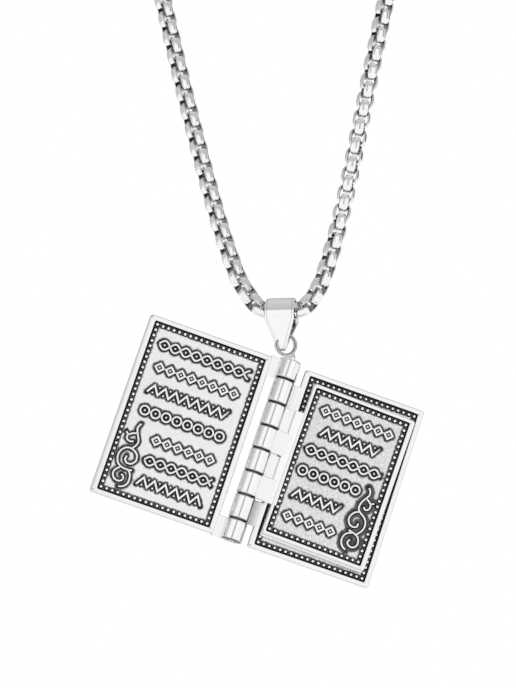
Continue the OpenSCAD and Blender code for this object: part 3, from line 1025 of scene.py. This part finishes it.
class LocketOperator(bpy.types.Operator):
    """What the locket's operators share."""

    bl_options = {"REGISTER", "UNDO"}

    def settings(self, context):
        return context.scene.locket

    def finish_named(self, name):
        if name not in bpy.data.materials:
            raise RuntimeError(f"the finish {name!r} isn't made yet")
        return bpy.data.materials[name]


class LOCKET_OT_finishes(LocketOperator):
    """Makes the steel finishes that every piece shares"""

    bl_idname = "locket.finishes"
    bl_label = "Make finishes"

    def execute(self, context):
        colours = self.settings(context).colours
        for make in (polished_steel, chain_steel, raised_steel):
            make(colours)
        field_steel("cover field", colours, colours.field, colours.field_shade)
        field_steel("page field", colours, colours.page, colours.page_shade)
        return {"FINISHED"}


class LOCKET_OT_chain(LocketOperator):
    """Adds the chain's links, and finishes the clasp behind the neck"""

    bl_idname = "locket.chain"
    bl_label = "Add chain"

    def execute(self, context):
        links = add_chain(self.settings(context).chain, self.finish_named("chain steel"))
        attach(links, "necklace")
        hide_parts("chain")
        dress(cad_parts["clasp"], self.finish_named("polished steel"))
        return {"FINISHED"}


class LOCKET_OT_bail(LocketOperator):
    """Adds the bail's folded strap"""

    bl_idname = "locket.bail"
    bl_label = "Add bail"

    def execute(self, context):
        strap = add_bail(self.settings(context).bail, self.finish_named("polished steel"))
        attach(strap, "bail")
        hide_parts("bail")
        return {"FINISHED"}


class LOCKET_OT_leaves(LocketOperator):
    """Adds the covers and pages with their relief and knuckles, and finishes the hinge pin"""

    bl_idname = "locket.leaves"
    bl_label = "Add leaves"

    def execute(self, context):
        size = self.settings(context).leaves
        polished = self.finish_named("polished steel")
        for leaf in LEAVES:
            field = self.finish_named("page field" if leaf.startswith("page") else "cover field")
            slab = add_leaf(leaf, size, (polished, field, self.finish_named("raised steel")))
            knuckles = add_knuckles(leaf, size, polished)
            for piece in (slab, knuckles):
                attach(piece, leaf)
            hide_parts(leaf)
        dress(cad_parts["hinge_pin"], polished)
        return {"FINISHED"}


class LOCKET_OT_stage(LocketOperator):
    """Adds the pale floor, the soft studio light and the camera"""

    bl_idname = "locket.stage"
    bl_label = "Set stage"

    def execute(self, context):
        stage = self.settings(context).stage
        add_floor(stage.floor)
        add_floor_lamp(stage.floor_light)
        add_studio()
        add_camera()
        return {"FINISHED"}


class LOCKET_PT_panel(bpy.types.Panel):
    """Lists the locket's pieces and settings"""

    bl_label = "Book Locket"
    bl_idname = "LOCKET_PT_panel"
    bl_space_type = "VIEW_3D"
    bl_region_type = "UI"
    bl_category = "Locket"

    def draw(self, context):
        settings = context.scene.locket
        for operator in OPERATORS:
            self.layout.operator(operator.bl_idname)
        for group in ("chain", "bail", "leaves", "colours", "stage"):
            box = self.layout.box()
            for name in getattr(settings, group).__annotations__:
                box.prop(getattr(settings, group), name)


def dress(node, finish):
    """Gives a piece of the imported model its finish."""
    node.data.materials.clear()
    node.data.materials.append(finish)


def add_floor(height):
    side_m = 6
    bpy.ops.mesh.primitive_plane_add(size=side_m, location=(0, 0, height))
    floor = bpy.context.object
    floor.name = "floor"
    pale = bpy.data.materials.new("pale floor")
    pale.use_nodes = True
    shader = pale.node_tree.nodes["Principled BSDF"]
    shader.inputs["Base Color"].default_value = (0.9, 0.9, 0.9, 1)
    shader.inputs["Roughness"].default_value = 0.8
    floor.data.materials.append(pale)


def add_floor_lamp(strength):
    """Light from overhead that brightens the floor, and that no metal mirrors."""
    lamp = bpy.data.lights.new("floor lamp", "SUN")
    lamp.energy, lamp.angle = strength, math.radians(60)
    made = bpy.data.objects.new("floor lamp", lamp)
    made.visible_glossy = False
    bpy.context.scene.collection.objects.link(made)


def add_studio():
    """Soft white walls in front with a grey gap between them, greyer sides, a dark back with one
    white strip, and a grey ceiling. The camera itself sees plain white."""
    world = bpy.data.worlds.new("studio")
    world.use_nodes = True
    bpy.context.scene.world = world
    room = Nodes(world.node_tree)
    where = room.node("ShaderNodeTexCoord", {}, {}, "Generated")
    axes = [room.node("ShaderNodeSeparateXYZ", {}, {"Vector": where}, i) for i in range(3)]
    # Both run from 0 to 1: the way round from behind, past the left, the front and the right,
    # and the way up from the floor
    turn = axes[0].maths("ARCTAN2", axes[0], 0 - axes[1]) / (2 * math.pi) + 0.5
    rise = axes[2].maths("ARCSINE", axes[2]) / math.pi + 0.5
    walls, above, ceiling = (
        room.node(
            "ShaderNodeValToRGB", {"stops": [(at / whole + 0.5, grey) for at, grey in stops]},
            {"Fac": way},
        )
        for stops, whole, way in ((WALLS, 360, turn), (WALLS_FADE, 180, rise), (CEILING, 180, rise))
    )
    light = room.node("ShaderNodeBackground", {}, {"Color": room.mix(above, walls, ceiling)})
    white = room.node("ShaderNodeBackground", {}, {"Color": (1, 1, 1)})
    seen = room.node("ShaderNodeLightPath", {}, {}, "Is Camera Ray")
    mixed = room.node("ShaderNodeMixShader", {}, {0: seen, 1: light, 2: white})
    room.link(world.node_tree.nodes["World Output"].inputs["Surface"], mixed)


def add_camera():
    camera = bpy.data.cameras.new("camera")
    camera.lens, camera.sensor_width = CAMERA_LENS, CAMERA_SENSOR
    made = bpy.data.objects.new("camera", camera)
    rise = math.radians(CAMERA_RISE)
    away = Vector((0, -math.cos(rise), math.sin(rise)))
    made.location = (Vector(CAMERA_LOOKS_AT) + away * CAMERA_DISTANCE) * MM
    made.rotation_euler = (-away).to_track_quat("-Z", "Y").to_euler()
    camera.clip_start, camera.clip_end = 0.01, 20
    bpy.context.scene.collection.objects.link(made)
    bpy.context.scene.camera = made
    bpy.context.scene.view_settings.view_transform = "Standard"


OPERATORS = (LOCKET_OT_finishes, LOCKET_OT_chain, LOCKET_OT_bail, LOCKET_OT_leaves, LOCKET_OT_stage)
GROUPS = (ChainSizes, BailSizes, LeafSizes, Colours, StageSettings, LocketSettings)
CLASSES = (*GROUPS, *OPERATORS, LOCKET_PT_panel)


def register():
    for made in CLASSES:
        bpy.utils.register_class(made)
    bpy.types.Scene.locket = PointerProperty(type=LocketSettings)


def unregister():
    del bpy.types.Scene.locket
    for made in reversed(CLASSES):
        bpy.utils.unregister_class(made)


def main():
    register()
    bpy.ops.locket.finishes()
    bpy.ops.locket.chain()
    bpy.ops.locket.bail()
    bpy.ops.locket.leaves()
    bpy.ops.locket.stage()


if __name__ == "__main__":
    main()
